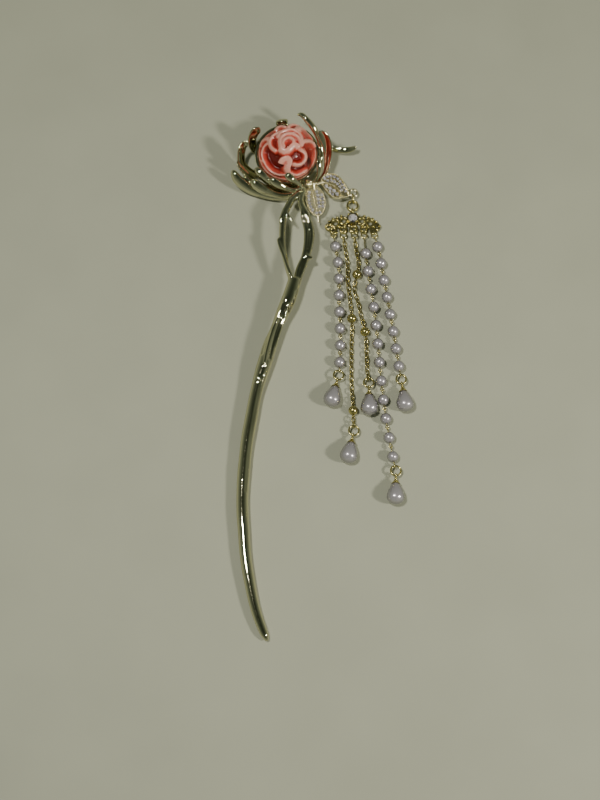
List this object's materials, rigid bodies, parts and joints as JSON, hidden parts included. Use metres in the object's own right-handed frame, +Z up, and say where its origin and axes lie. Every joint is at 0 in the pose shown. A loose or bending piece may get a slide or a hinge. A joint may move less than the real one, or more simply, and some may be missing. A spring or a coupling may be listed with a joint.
{
  "type": "step-shake hairpin with flower, leaves and hanging strands",
  "caption": "Twig-shaped hairpin with a resin rose in a clawed cup, set leaves, and a pierced connector with pearl strands, fine chains and pear drops.",
  "frame": {"origin": "middle of the flower cup's flat back, on the surface the pin lies on", "axes": "+Z up from that surface, +Y from the pin's point towards the flower, +X towards the hanging strands"},
  "size_m": [0.0641, 0.1877, 0.0147],
  "materials": {
    "champagne_metal": "polished",
    "gold_metal": "polished",
    "rose_resin": "gloss",
    "clear_stone": "cut and polished",
    "pearl": "pearly"
  },
  "bodies": {
    "root": {"stick": "champagne_metal", "petal_cup": "champagne_metal", "rose": "rose_resin", "leaf_sprig": "champagne_metal", "stones_leaf_right": "clear_stone", "stones_leaf_down": "clear_stone", "jump_ring_upper": "gold_metal", "jump_ring_lower": "gold_metal", "connector": "gold_metal", "connector_stone": "clear_stone", "pearls_1": "pearl", "pearls_4": "pearl", "pearls_5": "pearl", "pins_1": "gold_metal", "pins_4": "gold_metal", "pins_5": "gold_metal", "chain_2": "gold_metal", "chain_3": "gold_metal", "beads_2": "gold_metal", "beads_3": "gold_metal", "end_ring_1": "gold_metal", "end_ring_2": "gold_metal", "end_ring_3": "gold_metal", "end_ring_4": "gold_metal", "end_ring_5": "gold_metal", "drop_cap_1": "gold_metal", "drop_cap_2": "gold_metal", "drop_cap_3": "gold_metal", "drop_cap_4": "gold_metal", "drop_cap_5": "gold_metal", "drop_1": "pearl", "drop_2": "pearl", "drop_3": "pearl", "drop_4": "pearl", "drop_5": "pearl"}
  },
  "joints": []
}
